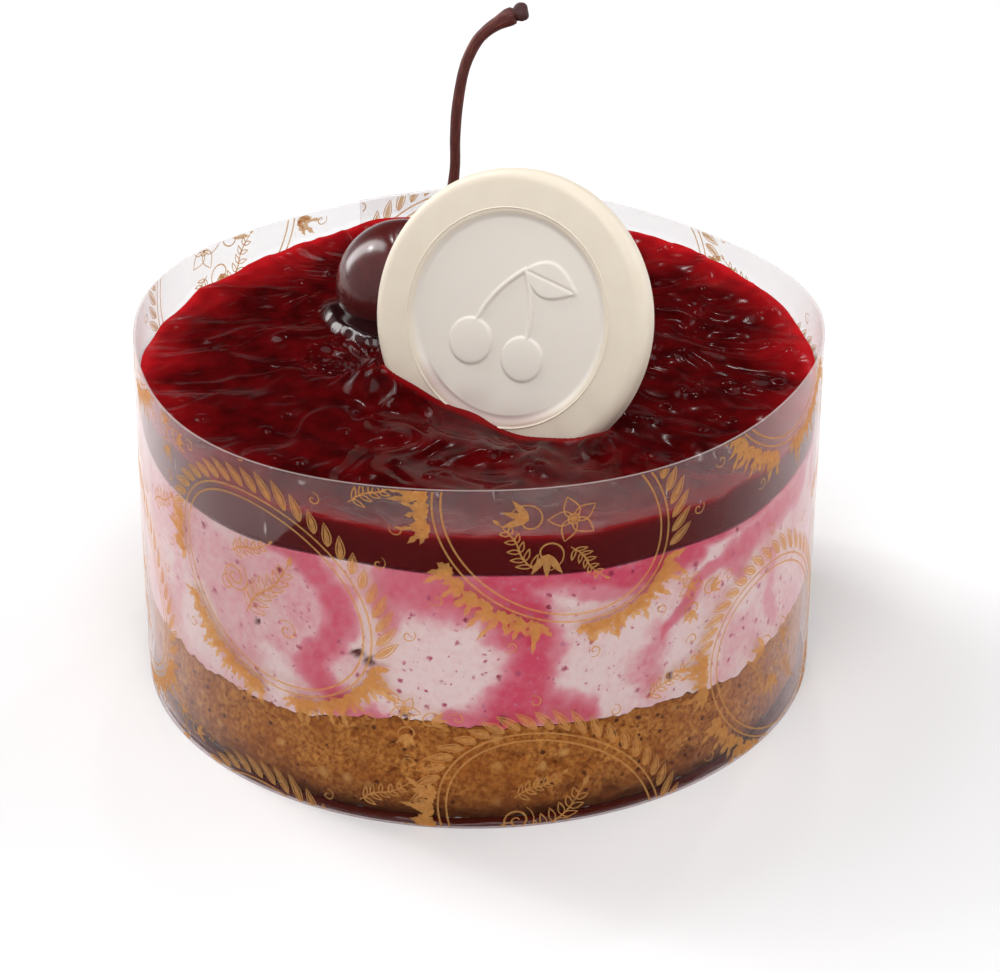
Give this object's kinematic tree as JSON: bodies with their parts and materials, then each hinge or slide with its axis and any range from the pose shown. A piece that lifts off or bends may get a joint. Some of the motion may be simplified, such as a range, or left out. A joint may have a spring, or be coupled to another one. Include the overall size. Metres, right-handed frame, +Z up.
{
  "type": "cherry cheesecake in a clear film collar",
  "caption": "Round single-serving cheesecake on a biscuit base with cherry glaze, a whole cherry and a white chocolate disc, in a clear printed film collar.",
  "frame": {"origin": "middle of the cake's flat underside, on the axis of the film collar", "axes": "+Z up out of the cake; -Y towards the side that the picture shows; the film's lapped ends are near +Y"},
  "size_m": [0.0762, 0.0779, 0.0716],
  "materials": {
    "biscuit": "pressed biscuit crumb, matte",
    "cheese": "whipped cheese with pink fruit streaks, satin",
    "glaze": "wet fruit glaze, glossy and translucent",
    "cherry": "wet cherry skin, glossy",
    "stem": "dried cherry stem, semi-matte",
    "white_chocolate": "moulded white chocolate, satin",
    "film": "clear cake film, glossy",
    "gold_print": "gold ink printed on clear film",
    "juice": "thin fruit juice, wet"
  },
  "bodies": {
    "root": {"biscuit_base": "biscuit", "cheese_layer": "cheese", "cherry_glaze": "glaze", "cherry": "cherry", "cherry_stem": "stem", "white_chocolate_disc": "white_chocolate", "acetate_collar": "film"}
  },
  "joints": []
}
